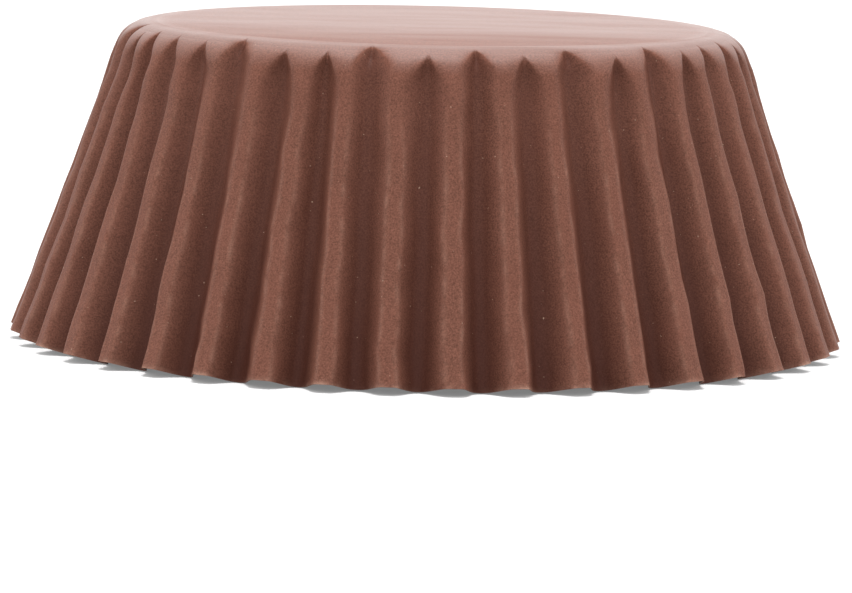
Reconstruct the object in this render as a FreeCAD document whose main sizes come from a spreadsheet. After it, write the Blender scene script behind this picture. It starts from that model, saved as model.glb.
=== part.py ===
import FreeCAD, Part
import math
import os

import Sketcher
from FreeCAD import Placement, Rotation, Vector

# A pleated paper baking cup made from one round sheet, turned over: the flat base is on top and
# the open mouth is below. The paper is folded into equal pleats. Each valley starts as a pointed
# notch in the rounded base edge and gets wider and deeper towards the rim.
#
# Half a pleat is modelled, from the middle of a crest to the middle of a valley: a solid half
# pleat less the same shape set in by the paper. It is mirrored and then repeated round the axis.
# Lengths are millimetres, +Z is up and the ends of the valleys touch Z = 0.

# The sizes that can be set by themselves.
SIZES = [
    ("base_diameter", 50, "corner to corner of the base, before its edge is rounded"),
    ("rim_diameter", 67.2, "across the crests at the rim"),
    ("wall_length", 26.45, "paper from the base corner to the rim"),
    ("edge_radius", 1.8, "round between the base and the wall"),
    ("paper_thickness", 0.1, "one layer of greaseproof paper"),
    ("pleat_count", 42, "pleats round the wall"),
    ("crest_width", 2.85, "flat land of a crest at the rim"),
    ("valley_width", 0.4, "flat floor of a valley"),
    ("notch_offset", 0.4, "from the edge of the flat base to the start of a valley"),
]

# What follows from them. The wall of a turned-up sheet has more paper than it has room for, so
# the depth of the pleats comes from the size of the flat sheet.
DERIVED = [
    ("half_pitch", "180 deg / pleat_count"),
    ("corner_radius", "base_diameter / 2"),
    ("rim_radius", "rim_diameter / 2"),
    ("slant", "asin((rim_radius - corner_radius) / wall_length)"),
    ("edge_run", "edge_radius * tan((90 deg - slant) / 2)"),
    ("flat_radius", "corner_radius - edge_run"),
    ("edge_arc", "edge_radius * (90 - slant / 1 deg) * pi / 180"),
    ("sheet_radius", "flat_radius + edge_arc + wall_length - edge_run"),
    ("flank_paper", "(2 * pi * sheet_radius / pleat_count - crest_width - valley_width) / 2"),
    ("flank_room", "(2 * pi * rim_radius / pleat_count - crest_width - valley_width) / 2"),
    ("pleat_depth", "sqrt(flank_paper ^ 2 - flank_room ^ 2)"),
    ("valley_end", "rim_radius - pleat_depth"),
    ("valley_start", "flat_radius + notch_offset"),
    ("valley_drop", "sqrt(wall_length ^ 2 - (valley_end - corner_radius) ^ 2)"),
    ("valley_slope", "(valley_end - valley_start) / valley_drop"),
    ("valley_inset", "paper_thickness * sqrt(1 + valley_slope ^ 2)"),
    ("lowest_reach", "(valley_end - valley_inset) * cos(half_pitch)"),
    ("height", "sqrt(wall_length ^ 2 - (lowest_reach - corner_radius) ^ 2)"),
    ("crest_end", "height - wall_length * cos(slant)"),
    ("flank_spread", "atan(flank_room / (pleat_depth + crest_end * valley_slope))"),
]

# How far a shape that cuts runs past what it cuts.
OVERRUN = 1.0

# Point numbers in a sketch: a curve's two ends and its centre, the origin and the upright axis.
FIRST, LAST, CENTRE = 1, 2, 3
ORIGIN = (-1, 1)
UPRIGHT = -2


def make_sheet(document):
    """The spreadsheet: the driving sizes, then what is worked out from them."""
    sheet = document.addObject("Spreadsheet::Sheet", "Sizes")
    for row, (name, size, note) in enumerate(SIZES, start=1):
        sheet.set("A%d" % row, name)
        sheet.set("B%d" % row, str(size))
        sheet.set("C%d" % row, note)
        sheet.setAlias("B%d" % row, name)
    for row, (name, formula) in enumerate(DERIVED, start=len(SIZES) + 2):
        sheet.set("A%d" % row, name)
        sheet.set("B%d" % row, "=" + formula)
        sheet.setAlias("B%d" % row, name)
    document.recompute()


def origin_part(body, role):
    """One of the body's own origin planes or axes."""
    return next(part for part in body.Origin.OriginFeatures if part.Role == role)


def new_sketch(body, name, plane):
    """A sketch laid on an origin plane of its body."""
    sketch = body.newObject("Sketcher::SketchObject", body.Name + name)
    sketch.AttachmentSupport = (origin_part(body, plane), [""])
    sketch.MapMode = "FlatFace"
    return sketch


def worked_out(sketch, formula):
    """The present value of a formula of cells. An angle is in degrees."""
    result = sketch.evalExpression(formula)
    return getattr(result, "Value", result)


def constrain(sketch, kind, *places):
    """A constraint between curves and points of the sketch."""
    return sketch.addConstraint(Sketcher.Constraint(kind, *places))


def dimension(sketch, formula, kind, *places):
    """A dimension of the sketch that follows a formula of cells."""
    start = worked_out(sketch, formula)
    if kind == "Angle":
        start = math.radians(start)
    index = constrain(sketch, kind, *places, start)
    sketch.setExpression("Constraints[%d]" % index, formula)


def heading(degrees):
    """A unit step in a sketch, at an angle from its level axis."""
    turn = math.radians(degrees)
    return Vector(math.cos(turn), math.sin(turn))


def draw_loop(sketch, corners):
    """Straight sides from corner to corner and back to the first."""
    sides = []
    for start, end in zip(corners, corners[1:] + corners[:1]):
        sides.append(sketch.addGeometry(Part.LineSegment(start, end)))
    for side, following in zip(sides, sides[1:] + sides[:1]):
        constrain(sketch, "Coincident", side, LAST, following, FIRST)
    return sides


def sketch_outline(body, inset, reach):
    """
    Half of the cup's outline through the middle of a crest, on the upright plane. Its rim is an
    arc round the base corner, because the rim is the same length of paper away from that corner
    everywhere. So the crests end a little higher than the valleys.
    """
    sketch = new_sketch(body, "Outline", "YZ_Plane")
    edge_height = "Sizes.height - Sizes.edge_radius"
    edge_size = "Sizes.edge_radius - " + inset
    rim_size = "Sizes.wall_length + %g" % reach
    crest_angle = "Sizes.slant - 90 deg"

    facing = Vector(0, 0, 1)
    crest_turn = worked_out(sketch, crest_angle)
    rim_length = worked_out(sketch, rim_size)
    corner = Vector(worked_out(sketch, "Sizes.corner_radius"), worked_out(sketch, "Sizes.height"))
    edge_centre = Vector(worked_out(sketch, "Sizes.flat_radius"), worked_out(sketch, edge_height))
    edge_circle = Part.Circle(edge_centre, facing, worked_out(sketch, edge_size))
    edge_arc = Part.ArcOfCircle(edge_circle, math.radians(crest_turn + 90), math.radians(90))
    rim_circle = Part.Circle(corner, facing, rim_length)
    rim_arc = Part.ArcOfCircle(rim_circle, math.radians(-90), math.radians(crest_turn))
    top_middle = Vector(0, edge_arc.EndPoint.y)
    low_middle = Vector(0, corner.y - rim_length)

    base = sketch.addGeometry(Part.LineSegment(top_middle, edge_arc.EndPoint))
    edge = sketch.addGeometry(edge_arc)
    crest = sketch.addGeometry(Part.LineSegment(edge_arc.StartPoint, rim_arc.EndPoint))
    rim = sketch.addGeometry(rim_arc)
    under = sketch.addGeometry(Part.LineSegment(rim_arc.StartPoint, low_middle))
    axis = sketch.addGeometry(Part.LineSegment(low_middle, top_middle))
    constrain(sketch, "Tangent", base, LAST, edge, LAST)
    constrain(sketch, "Tangent", edge, FIRST, crest, FIRST)
    constrain(sketch, "Coincident", crest, LAST, rim, LAST)
    constrain(sketch, "Coincident", rim, FIRST, under, FIRST)
    constrain(sketch, "Coincident", under, LAST, axis, FIRST)
    constrain(sketch, "Coincident", axis, LAST, base, FIRST)
    constrain(sketch, "PointOnObject", base, FIRST, UPRIGHT)
    constrain(sketch, "Horizontal", base)
    constrain(sketch, "Vertical", axis)
    constrain(sketch, "Horizontal", under)
    constrain(sketch, "Vertical", rim, CENTRE, rim, FIRST)
    dimension(sketch, "Sizes.flat_radius", "DistanceX", *ORIGIN, edge, CENTRE)
    dimension(sketch, edge_height, "DistanceY", *ORIGIN, edge, CENTRE)
    dimension(sketch, edge_size, "Radius", edge)
    dimension(sketch, crest_angle, "Angle", crest)
    dimension(sketch, "Sizes.corner_radius", "DistanceX", *ORIGIN, rim, CENTRE)
    dimension(sketch, "Sizes.height", "DistanceY", *ORIGIN, rim, CENTRE)
    dimension(sketch, rim_size, "Radius", rim)
    return sketch


def add_valley_line(sketch):
    """A construction line from the axis along the middle of the valley."""
    angle = "90 deg - Sizes.half_pitch"
    far = worked_out(sketch, "Sizes.rim_diameter")
    end = heading(worked_out(sketch, angle)) * far
    line = sketch.addGeometry(Part.LineSegment(Vector(0, 0), end), True)
    constrain(sketch, "Coincident", line, FIRST, *ORIGIN)
    dimension(sketch, angle, "Angle", line)
    dimension(sketch, "Sizes.rim_diameter", "Distance", line)
    return line


def sketch_valley(body, inset):
    """
    The section of one valley just below the rim: a floor square to the valley's line, with a
    flank on each side. An inset moves floor and flanks out into the wall by the same distance,
    so that the paper keeps its thickness all the way round.
    """
    sketch = new_sketch(body, "Valley", "XY_Plane")
    sketch.AttachmentOffset = Placement(Vector(0, 0, -OVERRUN), Rotation())
    floor_width = "Sizes.valley_width + 2 * %s * tan(45 deg - Sizes.flank_spread / 2)" % inset
    floor_radius = "Sizes.valley_end + %g * Sizes.valley_slope - %s" % (OVERRUN, inset)
    outer_radius = "Sizes.rim_radius + Sizes.pleat_depth"
    flank_angle = "90 deg - Sizes.half_pitch + Sizes.flank_spread"

    line_angle = worked_out(sketch, "90 deg - Sizes.half_pitch")
    out = heading(line_angle)
    across = heading(line_angle + 90)
    near = worked_out(sketch, floor_radius)
    far = worked_out(sketch, outer_radius)
    near_half = worked_out(sketch, floor_width) / 2
    spread = math.radians(worked_out(sketch, "Sizes.flank_spread"))
    far_half = near_half + (far - near) * math.tan(spread)
    corners = [
        out * near - across * near_half,
        out * near + across * near_half,
        out * far + across * far_half,
        out * far - across * far_half,
    ]
    line = add_valley_line(sketch)
    floor, flank, outer, other_flank = draw_loop(sketch, corners)
    constrain(sketch, "Symmetric", floor, FIRST, floor, LAST, line)
    constrain(sketch, "Symmetric", outer, FIRST, outer, LAST, line)
    dimension(sketch, floor_width, "Distance", floor)
    dimension(sketch, floor_radius, "Distance", *ORIGIN, floor)
    dimension(sketch, outer_radius, "Distance", *ORIGIN, outer)
    dimension(sketch, flank_angle, "Angle", flank)
    return sketch


def sketch_beyond(body):
    """All that lies past the middle of the valley, seen from above."""
    sketch = new_sketch(body, "Beyond", "XY_Plane")
    far = worked_out(sketch, "Sizes.rim_diameter")
    out = heading(worked_out(sketch, "90 deg - Sizes.half_pitch"))
    line = add_valley_line(sketch)
    near_side, far_side, back = draw_loop(sketch, [Vector(0, 0), out * far, Vector(far, 0)])
    constrain(sketch, "Coincident", near_side, FIRST, *ORIGIN)
    constrain(sketch, "Coincident", near_side, LAST, line, LAST)
    constrain(sketch, "Horizontal", back)
    dimension(sketch, "Sizes.rim_diameter", "Distance", back)
    return sketch


def make_half_pleat(document, name, outline_inset, valley_inset, reach, both_sides):
    """Half a pleat as a solid, from the base to the rim: an outline, less the valley beside it."""
    body = document.addObject("PartDesign::Body", name)
    land = body.newObject("PartDesign::Pad", name + "Land")
    land.Profile = sketch_outline(body, outline_inset, reach)
    land.Midplane = both_sides
    land.Reversed = False
    land.setExpression("Length", "Sizes.rim_radius")
    document.recompute()

    valley = body.newObject("PartDesign::Pocket", name + "Valley")
    valley.Profile = sketch_valley(body, valley_inset)
    valley.UseCustomVector = True
    valley.setExpression("Direction.x", "-Sizes.valley_slope * sin(Sizes.half_pitch)")
    valley.setExpression("Direction.y", "-Sizes.valley_slope * cos(Sizes.half_pitch)")
    valley.setExpression("Direction.z", "1")
    valley.setExpression("Length", "2 * Sizes.height")
    document.recompute()
    return body


def cut_beside_valley(document, body):
    """Ends the half pleat at the middle of its valley."""
    beside = body.newObject("PartDesign::Pocket", body.Name + "Side")
    beside.Profile = sketch_beyond(body)
    beside.Type = "ThroughAll"
    beside.Midplane = True
    document.recompute()


def repeat_round(document, body):
    """Mirrors the half pleat in the middle of its crest and repeats it round the axis."""
    whole = body.newObject("PartDesign::Mirrored", body.Name + "WholePleat")
    whole.TransformMode = "Whole shape"
    whole.MirrorPlane = (origin_part(body, "YZ_Plane"), [""])
    body.Tip = whole
    document.recompute()
    wall = body.newObject("PartDesign::PolarPattern", body.Name + "Pleats")
    wall.TransformMode = "Whole shape"
    wall.Axis = (origin_part(body, "Z_Axis"), [""])
    wall.Angle = 360
    wall.setExpression("Occurrences", "Sizes.pleat_count")
    body.Tip = wall
    document.recompute()


document = FreeCAD.newDocument("BakingCup")
make_sheet(document)

liner = make_half_pleat(document, "liner", "0", "0", 0, False)
cut_beside_valley(document, liner)
hollow = make_half_pleat(
    document, "Hollow", "Sizes.paper_thickness", "Sizes.valley_inset", OVERRUN / 2, True)
paper = liner.newObject("PartDesign::Boolean", "Paper")
paper.Type = "Cut"
paper.Group = [hollow]
liner.Tip = paper
document.recompute()
repeat_round(document, liner)
# A valley, not a crest, faces the front.
liner.setExpression("Placement.Rotation.Angle", "Sizes.half_pitch")
document.recompute()

for step in document.Objects:
    if "Invalid" in step.State or "Error" in step.State:
        raise RuntimeError(step.Label + " was not built")
if liner.Shape.isNull() or not liner.Shape.isValid():
    raise RuntimeError("the paper is not a sound solid")

os.makedirs("parts", exist_ok=True)
liner.Shape.exportStep("parts/%s.step" % liner.Label)
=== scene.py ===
import math
import random

import bmesh
import bpy
from mathutils import Matrix, Vector, noise


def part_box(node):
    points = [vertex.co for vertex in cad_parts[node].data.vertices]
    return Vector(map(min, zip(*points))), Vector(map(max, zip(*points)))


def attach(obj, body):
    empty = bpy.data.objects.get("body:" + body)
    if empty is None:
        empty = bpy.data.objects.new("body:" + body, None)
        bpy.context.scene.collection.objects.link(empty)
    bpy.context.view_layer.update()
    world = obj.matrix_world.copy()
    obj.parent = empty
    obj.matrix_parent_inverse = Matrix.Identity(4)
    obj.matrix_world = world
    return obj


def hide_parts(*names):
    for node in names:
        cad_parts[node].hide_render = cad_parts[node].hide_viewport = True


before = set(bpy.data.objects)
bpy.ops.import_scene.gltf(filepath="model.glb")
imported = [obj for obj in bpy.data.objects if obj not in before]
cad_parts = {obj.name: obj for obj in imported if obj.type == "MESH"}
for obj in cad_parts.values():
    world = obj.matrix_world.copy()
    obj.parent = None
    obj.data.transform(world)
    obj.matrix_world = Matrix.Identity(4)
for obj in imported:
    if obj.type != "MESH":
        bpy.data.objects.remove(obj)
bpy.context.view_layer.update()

# A pleated paper baking cup, upside down on its rim. The sizes are in millimetres until a point
# is made. The outer face of the paper is modelled and then thickened inwards.
MM = 0.001
_, HIGH_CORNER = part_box("liner")
HEIGHT = HIGH_CORNER[2] / MM
RIM_RADIUS = HIGH_CORNER[0] / MM
PLEATS = 42
HALF_PITCH = math.pi / PLEATS
PAPER = 0.1

# The crests run flat off the base, over a bend that tightens as it goes, and straight down to a
# little above the table. On the way they are slightly hollow.
WALL_TURN = math.radians(70.7)
BEND_LENGTH = 4.0
BEND_GROWTH = 1.5
BEND_STEPS = 24
CREST_END = 0.685
CREST_HOLLOW = 0.2

# The valleys leave the crests' surface on the bend, soon reach their first depth and then deepen
# evenly down to the rim. A little more depth comes in along the first half of the wall. Each
# valley is shallower than this by nothing up to twice a share.
VALLEY_STARTS = 1.6
FIRST_DEPTH = 1.1
FIRST_RUN = 0.8
RIM_DEPTH = 1.99
EXTRA_DEPTH = 0.3
EXTRA_DEPTH_BY = 0.5
SHALLOWER = 0.09

# The head of a valley is pointed: it starts with a share of the full width and has all of it
# after a length.
HEAD_WIDTH = 0.06
HEAD_LENGTH = 2.4

# Rows of points: on the flat base by radius, and then by distance walked from its edge. One more
# ring closes the base, at a share of the innermost row's radius.
BASE_ROWS = [10.0, 18.0, 21.2]
WALL_ROWS = [-0.3, 0.4, 0.9, 1.3, 1.7, 2.1, 2.6, 3.1, 3.7, 4.6, 6.2, 9.0, 12.6, 16.6, 20.6,
             24.4, 27.4]
MIDDLE_RING = 0.5

# Columns of points from the middle of a valley to the middle of a crest, as a share of the half
# pitch, and how deep each lies: 1 in the valley and 0 on the crest. The pleats are soft waves
# where they start and have a crease along each side of the crest at the rim.
START_ACROSS = [0.0, 0.13, 0.28, 0.43, 0.58, 0.73, 0.87, 1.0]
START_DEPTH = [1.0, 0.95, 0.78, 0.52, 0.28, 0.11, 0.02, 0.0]
END_ACROSS = [0.0, 0.12, 0.26, 0.44, 0.60, 0.72, 0.86, 1.0]
END_DEPTH = [1.0, 0.98, 0.88, 0.54, 0.22, 0.02, 0.0, 0.02]
CREASE_COLUMN = 5
CREASED_BY = 18.0

# How far the valleys in front lie aside where they start, and how much lower they start, from
# the seventh on the left to the ninth on the right.
FIRST_IN_FRONT = -7
STARTS_ASIDE = [-1.5, -1.6, -1.4, -1.5, -0.4, -0.7, -1.0, 0.0, 0.05, 0.1, 0.2, 0.7, 0.7, 0.9,
                0.4, 0.8, 0.0]
STARTS_LOWER = [0.1, 0.4, 0.7, -0.5, 0.9, 0.8, -0.7, 0.9, -0.3, 0.8, -0.3, 1.0, -0.2, 0.9,
                0.4, 0.3, 1.0]

# How much a pleat may differ from its neighbours: where its valley and its crest lie at the start
# and at the rim, how much lower the valley starts, how wide the crest is and how deep the valley.
DIFFERENCES = {"start": 0.45, "end": 0.3, "lower": 1.0, "crest_start": 0.2, "crest_end": 0.12,
               "wide": 0.09, "shallow": SHALLOWER}
DIFFERENCES_SEED = 23
SHIFT_GROWTH = 0.7

# How much lower the edge of the base lies than its middle.
BASE_DROP = 0.13

# Small waves in the paper: their size, how fast they change across and along it, and the layer
# of the pattern that they are read from. Across is a number of pleats on the wall.
WAVES = {
    "base": (0.1, 0.07, 0.11, 3),
    "crest_aside": (0.34, 5.3, 0.33, 8),
    "wall_aside": (0.12, 4.0, 0.8, 1),
    "crest_out": (0.2, 2.9, 0.25, 15),
    "wall_out": (0.08, 3.0, 0.7, 31),
}
BASE_WAVES_LOWER = 0.04
RIM_CALM = 0.7

# Spans over which something comes or goes, from a start to an end. The first three are radii,
# and the others are distances walked from the edge of the flat base.
BASE_DROPS = (6.0, 26.0)
BASE_WAVES_END = (14.0, 20.0)
LEAN_STARTS = (20.8, 22.4)
BASE_DROP_ENDS = (0.0, 12.0)
WALL_WAVES_START = (2.0, 6.0)
CREASE_SHOWS = (4.0, 13.0)
RIM_CALMS = (24.0, 27.0)

# How much painted shade darkens the paper in a valley, in place of the shade that falls there,
# from its start down to the rim. The valleys that start high up have more painted shade at their
# head.
SHADE_AT_START = 0.16
SHADE_GROWTH = 0.6
SHADE_AFTER = 0.7
HIGH_START = 0.5
HIGH_HEAD_SHADE = 0.42
HIGH_HEAD_LENGTH = 5.0

# The angle of the valley nearest the viewer, from straight ahead.
FRONT_TURN = math.radians(-0.42)

# Edges up to this angle look smooth.
SMOOTH_UP_TO = math.radians(50)

# Colours of the paper.
DARK_GRAIN = (0.125, 0.050, 0.033, 1)
PALE_GRAIN = (0.255, 0.103, 0.070, 1)
WARM_CLOUD = (0.200, 0.071, 0.048, 1)
# Pale lines on the creases and along the cut rim: partly wear of the paper, partly a painted
# highlight where these edges catch the light.
PALE_WEAR_HIGHLIGHT = (0.47, 0.27, 0.20, 1)
# Painted shade: the colour the valleys darken towards, in place of the shade that falls in them.
PAINTED_VALLEY_SHADE = (0.047, 0.0125, 0.0085, 1)
PALE_FLECK = (0.40, 0.26, 0.19, 1)
CUT_EDGE = (0.40, 0.22, 0.16, 1)

# Patterns in the paper: how many there are to a metre, and how many finer layers they have.
GRAIN = (8000, 2)
CLOUDS = (260, 3)
WEAR = (900, 3)
FLECKS = (5200, 0)
DENTS = (330, 2)
BASE_WAVES = (130, 1)

# How strong the bumps of a pattern are, and how high in metres.
GRAIN_BUMPS = (0.5, 0.00004)
DENT_BUMPS = (0.35, 0.00022)
BASE_WAVE_BUMPS = (1, 0.0007)
BASE_WAVES_STRETCH = (0.45, 1.0, 1)

# The colour sockets of a mixing node, by number.
COLOUR_INPUTS = (6, 7)
COLOUR_OUTPUT = 2

# Shares of colour, gloss and sheen.
WARM_SHARE = 0.25
# How strong the pale wear and painted highlight are on the creases, and how close to the cut they
# stay.
CREASE_WEAR_GLINT_SHARE = 0.22
CUT_WEAR_GLINT_POWER = 6
# How far the valleys go towards the painted shade colour.
VALLEY_SHADE_AMOUNT = 0.85
PAPER_ROUGHNESS = 0.5
PLAIN_GLOSS = 0.1
BEND_GLOSS = 0.45
SHEEN = 0.25
SHEEN_ROUGHNESS = 0.65
EDGE_ROUGHNESS = 0.9

# The table is white card. It throws back little light, and looks white to the viewer.
TABLE_SIZE = 6
TABLE_ROUGHNESS = 0.9
TABLE_GREY = (0.10, 0.10, 0.10, 1)
TABLE_SEEN = (0.66, 0.66, 0.66, 1)
TABLE_GLOW = 0.2

# The lamps all face one point, in metres.
LAMPS_FACE = (0, 0, 0.012)

# The camera stands in front, a little above, and has a long lens. Its place is in metres.
CAMERA_PLACE = (0, -0.4447, 0.05796)
CAMERA_PITCH = math.radians(6.98)
CAMERA_ROLL = math.radians(1.3)
CAMERA_LENS = 233.7
CAMERA_WIDTH = 36
CAMERA_NEAREST = 0.01


def deselect_all():
    """Leaves edit mode and clears the selection."""
    if bpy.context.mode != "OBJECT":
        bpy.ops.object.mode_set(mode="OBJECT")
    bpy.ops.object.select_all(action="DESELECT")


def apply_modifier(piece, kind, **settings):
    """Adds a modifier with its settings and applies it."""
    bpy.context.view_layer.objects.active = piece
    modifier = piece.modifiers.new(kind.title(), kind)
    for name, value in settings.items():
        setattr(modifier, name, value)
    bpy.ops.object.modifier_apply(modifier=modifier.name)


def name_value(piece, name, values):
    """Stores one value for each point."""
    stored = piece.data.attributes.new(name, "FLOAT", "POINT")
    stored.data.foreach_set("value", values)


def mix(start, end, share):
    """A value between a start and an end."""
    return start + (end - start) * share


def clamp(value):
    """Stops a value at 0 and 1."""
    return min(1.0, max(0.0, value))


def smooth_step(value):
    """0 below 0, 1 above 1 and a soft rise between them."""
    value = clamp(value)
    return value * value * (3 - 2 * value)


def rise(value, span):
    """0 before a span, 1 after it and a soft rise within it."""
    start, end = span
    return smooth_step((value - start) / (end - start))


def hump(share):
    """0 at both ends and 1 in the middle."""
    return 4 * share * (1 - share)


def point_at(radius, angle, height):
    """A point in metres, its angle counted from straight ahead."""
    return Vector((radius * math.sin(angle), -radius * math.cos(angle), height)) * MM


def turn_of_bend(walked):
    """The angle that the bend has turned through at a distance along it."""
    return WALL_TURN * (walked / BEND_LENGTH) ** BEND_GROWTH


def walk_bend(walked):
    """How far outwards and downwards the bend leads in a distance along it."""
    out = 0.0
    down = 0.0
    for step in range(BEND_STEPS):
        turned = turn_of_bend((step + 0.5) / BEND_STEPS * walked)
        out += math.cos(turned) * walked / BEND_STEPS
        down += math.sin(turned) * walked / BEND_STEPS
    return out, down


def crest_line():
    """The radius at which the bend starts, and the length of the straight wall after it."""
    out, down = walk_bend(BEND_LENGTH)
    straight = (HEIGHT - down - CREST_END) / math.sin(WALL_TURN)
    return RIM_RADIUS - out - straight * math.cos(WALL_TURN), straight


FLAT_END, STRAIGHT = crest_line()
WALKED_TO_RIM = BEND_LENGTH + STRAIGHT


def walk_crest(walked):
    """The place (radius, height) on a crest, and the way inwards from it, square to the paper."""
    on_bend = max(0.0, min(walked, BEND_LENGTH))
    turned = turn_of_bend(on_bend)
    out, down = walk_bend(on_bend)
    straight = min(0.0, walked) + max(0.0, walked - BEND_LENGTH)
    place = Vector((FLAT_END + out, HEIGHT - down))
    place += Vector((math.cos(turned), -math.sin(turned))) * straight
    return place, Vector((-math.sin(turned), -math.cos(turned)))


def valley_depth(walked, starts):
    """How deep a valley is at a distance from the edge of the base."""
    run = max(0.0, walked - starts)
    share = run / (WALKED_TO_RIM - starts)
    return FIRST_DEPTH * (1 - math.exp(-run / FIRST_RUN)) + (RIM_DEPTH - FIRST_DEPTH) * share


def spread_column(column, walked, starts):
    """A column's share of the half pitch and of the depth. A valley is pointed at its head."""
    creased = smooth_step(walked / CREASED_BY)
    opened = mix(HEAD_WIDTH, 1.0, clamp((walked - starts) / HEAD_LENGTH))
    across = mix(START_ACROSS[column], END_ACROSS[column], creased)
    crease = mix(START_ACROSS[CREASE_COLUMN], END_ACROSS[CREASE_COLUMN], creased)
    if column <= CREASE_COLUMN:
        across *= opened
    else:
        across = mix(crease * opened, 1.0, (across - crease) / (1 - crease))
    return across, mix(START_DEPTH[column], END_DEPTH[column], creased)


def shade_down_valley(walked, starts, lower):
    """How much painted shade the bottom of a valley gets at a distance from the edge of the base.
    """
    down = max(0.0, walked / WALKED_TO_RIM)
    dark = mix(SHADE_AT_START, 1.0, down ** SHADE_GROWTH)
    head = 1 - smooth_step((walked - starts) / HIGH_HEAD_LENGTH)
    dark += HIGH_HEAD_SHADE * smooth_step(HIGH_START - lower) * head
    return dark * smooth_step((walked - starts) / SHADE_AFTER)


def sink_of_base(radius, walked):
    """How much lower the slightly domed base lies than a flat one."""
    return BASE_DROP * rise(radius, BASE_DROPS) * (1 - rise(walked, BASE_DROP_ENDS))


def small_wave(name, across, along):
    """The size of one of the small waves at a place across and along the paper."""
    size, across_pace, along_pace, layer = WAVES[name]
    return size * noise.noise(Vector((across * across_pace, along * along_pace, layer)))


def shape_half_pleat():
    """A flat grid bent into half a plain pleat from the base to the rim, its valley on -Y."""
    walks_of_rows = [radius - FLAT_END for radius in BASE_ROWS] + WALL_ROWS + [WALKED_TO_RIM]
    rows = len(walks_of_rows)
    columns = len(START_ACROSS)
    bpy.ops.mesh.primitive_grid_add(x_subdivisions=columns - 1, y_subdivisions=rows - 1)
    piece = bpy.context.object
    column_numbers = []
    walks = []
    folds = []
    cuts = []
    for index, vertex in enumerate(piece.data.vertices):
        row, column = divmod(index, columns)
        walked = walks_of_rows[row]
        place, _ = walk_crest(walked)
        vertex.co = point_at(place.x, column / (columns - 1) * HALF_PITCH, place.y)
        column_numbers.append(float(column))
        walks.append(walked)
        folds.append(rise(walked, CREASE_SHOWS) if column == CREASE_COLUMN else 0.0)
        cuts.append(1.0 if row == rows - 1 else 0.0)
    name_value(piece, "column", column_numbers)
    name_value(piece, "walked", walks)
    name_value(piece, "fold", folds)
    name_value(piece, "cut", cuts)
    return piece


def repeat_round(piece):
    """Mirrors the half pleat in its valley and spins copies of it round the axis."""
    apply_modifier(piece, "MIRROR", use_axis=(True, False, False), merge_threshold=1e-6)
    bpy.ops.object.mode_set(mode="EDIT")
    bpy.ops.mesh.select_all(action="SELECT")
    bpy.ops.mesh.spin(steps=PLEATS - 1, dupli=True, angle=2 * math.pi * (1 - 1 / PLEATS),
                      center=(0, 0, 0), axis=(0, 0, 1))
    bpy.ops.mesh.select_all(action="SELECT")
    bpy.ops.mesh.remove_doubles(threshold=2e-6)
    bpy.ops.object.mode_set(mode="OBJECT")


def close_base(piece):
    """Fills the hole in the middle of the base."""
    hole = BASE_ROWS[0] * MM
    just_past_hole = 1.01 * hole
    inside_hole = mix(MIDDLE_RING, 1.0, 0.5) * hole
    bpy.ops.object.mode_set(mode="EDIT")
    bpy.ops.mesh.select_all(action="DESELECT")
    mesh = bmesh.from_edit_mesh(piece.data)
    for vertex in mesh.verts:
        vertex.select = vertex.co.xy.length < just_past_hole
    mesh.select_flush(True)
    bmesh.update_edit_mesh(piece.data)
    bpy.ops.mesh.extrude_edges_move()
    bpy.ops.transform.resize(value=(MIDDLE_RING, MIDDLE_RING, 1))
    bpy.ops.mesh.edge_face_add()
    bpy.ops.mesh.poke()
    bpy.ops.mesh.select_all(action="SELECT")
    bpy.ops.mesh.normals_make_consistent(inside=False)
    bpy.ops.object.mode_set(mode="OBJECT")
    walks = piece.data.attributes["walked"].data
    for index, vertex in enumerate(piece.data.vertices):
        if vertex.co.xy.length < inside_hole:
            walks[index].value = -FLAT_END


def vary_pleats():
    """Small differences from pleat to pleat. The valleys in front have starts of their own."""
    chance = random.Random(DIFFERENCES_SEED)
    varied = {name: [chance.uniform(-size, size) for _ in range(PLEATS)]
              for name, size in DIFFERENCES.items()}
    for number, (aside, lower) in enumerate(zip(STARTS_ASIDE, STARTS_LOWER)):
        place = (number + FIRST_IN_FRONT) % PLEATS
        varied["start"][place] = aside
        varied["lower"][place] = lower
    for number in range(PLEATS):
        before = varied["start"][number]
        after = varied["start"][(number + 1) % PLEATS]
        varied["crest_start"][number] += (before + after) / 2
    return varied


def nearest_pleat(angle):
    """The nearest valley and crest by number, the valley's angle, and the side of it."""
    valley = round(angle / (2 * HALF_PITCH))
    middle = valley * 2 * HALF_PITCH
    side = 1 if angle > middle else -1
    crest = valley if side > 0 else valley - 1
    return valley % PLEATS, crest % PLEATS, middle, side


def shift_aside(varied, valley, crest, side, across, down):
    """How far a point lies aside of its place on an even pleat."""
    moved = down ** SHIFT_GROWTH
    valley_shift = mix(varied["start"][valley], varied["end"][valley], moved)
    crest_shift = mix(varied["crest_start"][crest], varied["crest_end"][crest], moved)
    shift = mix(valley_shift, crest_shift, smooth_step(across))
    return shift - side * varied["wide"][crest] * hump(across)


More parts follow.
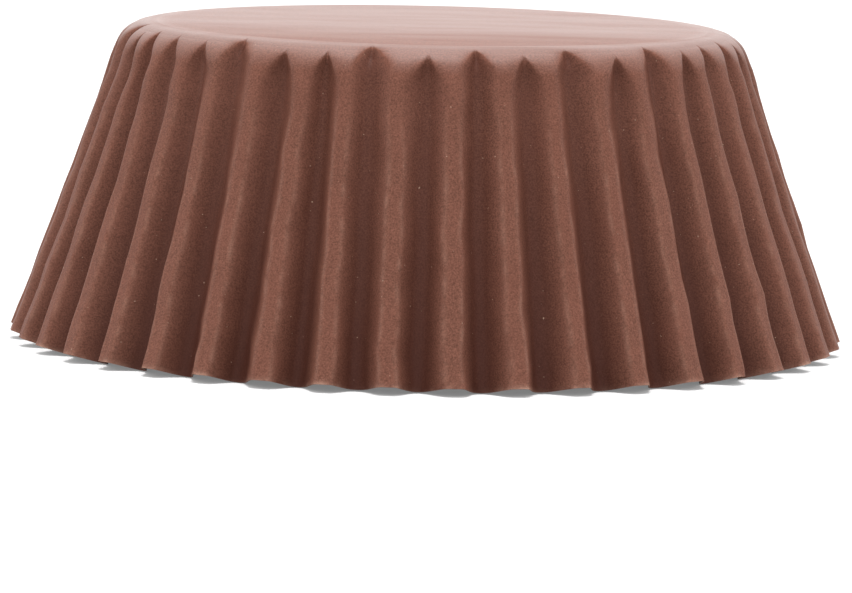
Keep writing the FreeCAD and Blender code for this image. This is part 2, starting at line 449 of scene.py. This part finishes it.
def fold_pleats(piece):
    """Folds every pleat, each with its own lean, width, depth and head."""
    varied = vary_pleats()
    columns = piece.data.attributes["column"].data
    walks = piece.data.attributes["walked"].data
    painted_shade = []
    for index, vertex in enumerate(piece.data.vertices):
        angle = math.atan2(vertex.co.x, -vertex.co.y)
        valley, crest, middle, side = nearest_pleat(angle)
        walked = walks[index].value
        down = max(0.0, walked / WALKED_TO_RIM)
        lower = varied["lower"][valley]
        starts = VALLEY_STARTS + lower
        across, depth = spread_column(round(columns[index].value), walked, starts)
        shift = shift_aside(varied, valley, crest, side, across, down)

        place, inwards = walk_crest(walked)
        deep = valley_depth(walked, starts) * (1 - SHALLOWER - varied["shallow"][valley])
        place += inwards * deep * depth
        place.x -= depth * EXTRA_DEPTH * smooth_step(down / EXTRA_DEPTH_BY)
        place.x -= (1 - depth) * CREST_HOLLOW * math.sin(math.pi * down)
        angle = middle + side * across * HALF_PITCH
        angle += shift * rise(place.x, LEAN_STARTS) / place.x
        height = place.y - sink_of_base(place.x, walked)
        vertex.co = point_at(place.x, angle, height)
        # Stores how much painted shade each point of a valley gets.
        painted_shade.append(depth * shade_down_valley(walked, starts, lower))
    name_value(piece, "painted_shade", painted_shade)


def rumple_paper(piece):
    """Small waves along the crests, the valleys and the base."""
    columns = piece.data.attributes["column"].data
    walks = piece.data.attributes["walked"].data
    for index, vertex in enumerate(piece.data.vertices):
        point = vertex.co / MM
        radius = point.xy.length
        if radius < BASE_WAVES_END[1]:
            wave = small_wave("base", point.x, point.y) - BASE_WAVES_LOWER
            vertex.co.z += wave * (1 - rise(radius, BASE_WAVES_END)) * MM
            continue
        angle = math.atan2(point.x, -point.y)
        walked = walks[index].value
        on_wall = rise(walked, WALL_WAVES_START)
        number = angle / (2 * HALF_PITCH)
        crest = math.floor(number)
        ridge = smooth_step(columns[index].value / (len(START_ACROSS) - 1))
        aside = ridge * small_wave("crest_aside", crest, walked)
        aside += small_wave("wall_aside", number, walked)
        out = ridge * small_wave("crest_out", crest, walked)
        out += small_wave("wall_out", number, walked)
        radius += out * on_wall * (1 - RIM_CALM * rise(walked, RIM_CALMS))
        angle += aside * on_wall / radius
        vertex.co = point_at(radius, angle, point.z)


def model_liner():
    """The whole cup: pleats all round, closed base, rumpled and given its thickness."""
    deselect_all()
    piece = shape_half_pleat()
    piece.name = "pleated_liner"
    piece.data.name = "pleated_liner"
    repeat_round(piece)
    fold_pleats(piece)
    apply_modifier(piece, "SUBSURF", levels=1, render_levels=1)
    close_base(piece)
    rumple_paper(piece)
    piece.data.transform(Matrix.Rotation(FRONT_TURN, 4, "Z"))
    piece.data.materials.append(make_paper())
    piece.data.materials.append(make_cut_edge())
    apply_modifier(piece, "SOLIDIFY", thickness=PAPER * MM, offset=-1.0, material_offset_rim=1,
                   use_even_offset=True)
    bpy.ops.object.shade_smooth_by_angle(angle=SMOOTH_UP_TO)
    return piece


def new_material(name):
    """A node material with its output and shader joined."""
    material = bpy.data.materials.new(name)
    material.use_nodes = True
    nodes = material.node_tree.nodes
    return material, nodes, material.node_tree.links, nodes["Principled BSDF"]


def add_noise(nodes, links, vector, scale, detail):
    """A noise pattern, read from a vector socket."""
    pattern = nodes.new("ShaderNodeTexNoise")
    pattern.inputs["Scale"].default_value = scale
    pattern.inputs["Detail"].default_value = detail
    links.new(vector, pattern.inputs["Vector"])
    return pattern.outputs["Fac"]


def add_math(nodes, links, operation, first, second):
    """One step of arithmetic. Each value is a socket or a number."""
    step = nodes.new("ShaderNodeMath")
    step.operation = operation
    for socket, value in zip(step.inputs, (first, second)):
        if isinstance(value, (int, float)):
            socket.default_value = value
        else:
            links.new(value, socket)
    return step.outputs["Value"]


def add_range(nodes, links, value, low, high):
    """Maps low..high to 0..1 and stops at both ends."""
    span = nodes.new("ShaderNodeMapRange")
    span.inputs["From Min"].default_value = low
    span.inputs["From Max"].default_value = high
    links.new(value, span.inputs["Value"])
    return span.outputs["Result"]


def add_colour_mix(nodes, links, share, first, second):
    """Mixes two colours by a share."""
    blend = nodes.new("ShaderNodeMix")
    blend.data_type = "RGBA"
    links.new(share, blend.inputs["Factor"])
    for number, value in zip(COLOUR_INPUTS, (first, second)):
        if isinstance(value, tuple):
            blend.inputs[number].default_value = value
        else:
            links.new(value, blend.inputs[number])
    return blend.outputs[COLOUR_OUTPUT]


def add_stored(nodes, name):
    """A value that the points of the mesh carry."""
    stored = nodes.new("ShaderNodeAttribute")
    stored.attribute_name = name
    return stored.outputs["Fac"]


def add_bump(nodes, links, height, strength, distance, below=None):
    """A bump from a height socket, on top of another bump's normal."""
    bump = nodes.new("ShaderNodeBump")
    bump.inputs["Strength"].default_value = strength
    bump.inputs["Distance"].default_value = distance
    links.new(height, bump.inputs["Height"])
    if below is not None:
        links.new(below, bump.inputs["Normal"])
    return bump.outputs["Normal"]


def colour_paper(nodes, links, place, grain):
    """Brown with a fine grain and pale flecks. Its creases and cut edge are paler, partly from
    wear and partly from a painted highlight. Its valleys carry painted shade.
    """
    cloud = add_noise(nodes, links, place, *CLOUDS)
    brown = add_colour_mix(nodes, links, add_range(nodes, links, grain, low=0.3, high=0.7),
                           DARK_GRAIN, PALE_GRAIN)
    warm = add_range(nodes, links, cloud, low=0.4, high=0.75)
    warm = add_math(nodes, links, "MULTIPLY", warm, WARM_SHARE)
    brown = add_colour_mix(nodes, links, warm, brown, WARM_CLOUD)

    wear = add_noise(nodes, links, place, *WEAR)
    broken = add_range(nodes, links, wear, low=0.35, high=0.7)
    fold = add_math(nodes, links, "MULTIPLY", add_stored(nodes, "fold"), broken)
    fold = add_math(nodes, links, "MULTIPLY", fold, CREASE_WEAR_GLINT_SHARE)
    cut = add_math(nodes, links, "POWER", add_stored(nodes, "cut"), CUT_WEAR_GLINT_POWER)
    cut = add_math(nodes, links, "MULTIPLY", cut, broken)
    rubbed_and_lit = add_math(nodes, links, "MAXIMUM", fold, cut)
    # Paler creases and cut edge: wear of the paper plus a painted highlight along them.
    brown = add_colour_mix(nodes, links, rubbed_and_lit, brown, PALE_WEAR_HIGHLIGHT)

    # Painted shade in the valleys, strongest towards the rim.
    shaded = add_math(nodes, links, "MULTIPLY", add_stored(nodes, "painted_shade"), VALLEY_SHADE_AMOUNT)
    brown = add_colour_mix(nodes, links, shaded, brown, PAINTED_VALLEY_SHADE)
    flecks = add_noise(nodes, links, place, *FLECKS)
    flecks = add_range(nodes, links, flecks, low=0.85, high=0.92)
    return add_colour_mix(nodes, links, flecks, brown, PALE_FLECK)


def gloss_paper(nodes, links, shader, place, walked, on_base):
    """Glossy on the bend between the valleys, with a sheen there and on the base's far side."""
    near_base = add_range(nodes, links, walked, low=1.8, high=4.2)
    near_base = add_math(nodes, links, "SUBTRACT", 1, near_base)
    in_valley = add_range(nodes, links, add_stored(nodes, "painted_shade"), low=0, high=0.1)
    smooth = add_math(nodes, links, "SUBTRACT", 1, in_valley)
    smooth = add_math(nodes, links, "MULTIPLY", smooth, near_base)
    off_base = add_range(nodes, links, walked, low=-0.8, high=0.8)
    on_bend = add_math(nodes, links, "MULTIPLY", smooth, off_base)
    gloss = add_math(nodes, links, "MULTIPLY", on_bend, BEND_GLOSS)
    gloss = add_math(nodes, links, "ADD", gloss, PLAIN_GLOSS)
    links.new(gloss, shader.inputs["Specular IOR Level"])
    shader.inputs["Roughness"].default_value = PAPER_ROUGHNESS

    apart = nodes.new("ShaderNodeSeparateXYZ")
    links.new(place, apart.inputs["Vector"])
    far_side = add_range(nodes, links, apart.outputs["Y"], low=-0.017, high=-0.003)
    far_side = add_math(nodes, links, "MULTIPLY", far_side, on_base)
    sheen = add_math(nodes, links, "MAXIMUM", on_bend, far_side)
    sheen = add_math(nodes, links, "MULTIPLY", sheen, SHEEN)
    links.new(sheen, shader.inputs["Sheen Weight"])
    shader.inputs["Sheen Roughness"].default_value = SHEEN_ROUGHNESS


def roughen_paper(nodes, links, place, grain, on_base):
    """Bumps of the grain, shallow dents, and long waves across the base."""
    rough = add_bump(nodes, links, grain, *GRAIN_BUMPS)
    dents = add_noise(nodes, links, place, *DENTS)
    rough = add_bump(nodes, links, dents, *DENT_BUMPS, rough)
    stretched = nodes.new("ShaderNodeMapping")
    stretched.inputs["Scale"].default_value = BASE_WAVES_STRETCH
    links.new(place, stretched.inputs["Vector"])
    waves = add_noise(nodes, links, stretched.outputs["Vector"], *BASE_WAVES)
    waves = add_math(nodes, links, "MULTIPLY", waves, on_base)
    return add_bump(nodes, links, waves, *BASE_WAVE_BUMPS, rough)


def make_paper():
    """Brown greaseproof paper."""
    material, nodes, links, shader = new_material("brown_greaseproof_paper")
    place = nodes.new("ShaderNodeTexCoord").outputs["Object"]
    grain = add_noise(nodes, links, place, *GRAIN)
    walked = add_stored(nodes, "walked")
    on_base = add_range(nodes, links, walked, low=0, high=2)
    on_base = add_math(nodes, links, "SUBTRACT", 1, on_base)
    links.new(colour_paper(nodes, links, place, grain), shader.inputs["Base Color"])
    links.new(roughen_paper(nodes, links, place, grain, on_base), shader.inputs["Normal"])
    gloss_paper(nodes, links, shader, place, walked, on_base)
    return material


def make_cut_edge():
    """The bare fibres where the paper is cut."""
    material, _, _, shader = new_material("cut_paper_edge")
    shader.inputs["Base Color"].default_value = CUT_EDGE
    shader.inputs["Roughness"].default_value = EDGE_ROUGHNESS
    return material


def make_white_table():
    """White card. The camera sees it a little brighter, so that it fades into white."""
    material, nodes, links, shader = new_material("white_table")
    shader.inputs["Roughness"].default_value = TABLE_ROUGHNESS
    glow = nodes.new("ShaderNodeEmission")
    path = nodes.new("ShaderNodeLightPath")
    seen = add_math(nodes, links, "MAXIMUM", path.outputs["Is Camera Ray"],
                    path.outputs["Is Glossy Ray"])
    card = add_colour_mix(nodes, links, seen, TABLE_GREY, TABLE_SEEN)
    links.new(card, shader.inputs["Base Color"])
    links.new(add_math(nodes, links, "MULTIPLY", seen, TABLE_GLOW), glow.inputs["Strength"])
    both = nodes.new("ShaderNodeAddShader")
    links.new(shader.outputs["BSDF"], both.inputs[0])
    links.new(glow.outputs["Emission"], both.inputs[1])
    links.new(both.outputs["Shader"], nodes["Material Output"].inputs["Surface"])
    return material


def lay_table():
    """The flat card that the rim stands on."""
    deselect_all()
    bpy.ops.mesh.primitive_plane_add(size=TABLE_SIZE, location=(0, 0, 0))
    table = bpy.context.object
    table.name = "table"
    table.data.materials.append(make_white_table())


def add_lamp(name, place, size, power):
    """A soft square lamp that faces the object."""
    lamp = bpy.data.lights.new(name, "AREA")
    lamp.shape = "SQUARE"
    lamp.size = size
    lamp.energy = power
    holder = bpy.data.objects.new(name, lamp)
    holder.location = place
    forwards = Vector(LAMPS_FACE) - Vector(place)
    holder.rotation_euler = forwards.to_track_quat("-Z", "Y").to_euler()
    bpy.context.collection.objects.link(holder)


def light_scene():
    """A white room and four soft lamps: one on each side, one above and one behind."""
    world = bpy.data.worlds.new("soft_room")
    bpy.context.scene.world = world
    world.use_nodes = True
    room = world.node_tree.nodes["Background"]
    room.inputs["Strength"].default_value = 1
    room.inputs["Color"].default_value = (1, 1, 1, 1)
    add_lamp("left_window", place=(-0.62, -0.02, 0.20), size=0.35, power=0.6)
    add_lamp("right_window", place=(0.62, -0.02, 0.20), size=0.35, power=0.6)
    add_lamp("ceiling", place=(0, -0.08, 0.7), size=0.4, power=4.4)
    add_lamp("back_window", place=(0, 0.85, 0.26), size=0.5, power=1.0)


def place_camera():
    """From the front, a little above, with a long lens."""
    camera = bpy.data.cameras.new("camera")
    camera.lens = CAMERA_LENS
    camera.sensor_width = CAMERA_WIDTH
    camera.clip_start = CAMERA_NEAREST
    holder = bpy.data.objects.new("camera", camera)
    holder.matrix_world = (
        Matrix.Translation(CAMERA_PLACE)
        @ Matrix.Rotation(math.pi / 2 - CAMERA_PITCH, 4, "X")
        @ Matrix.Rotation(CAMERA_ROLL, 4, "Z")
    )
    bpy.context.collection.objects.link(holder)
    bpy.context.scene.camera = holder


liner = model_liner()
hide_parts("liner")
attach(liner, "root")
lay_table()
light_scene()
place_camera()
bpy.context.scene.view_settings.view_transform = "Standard"
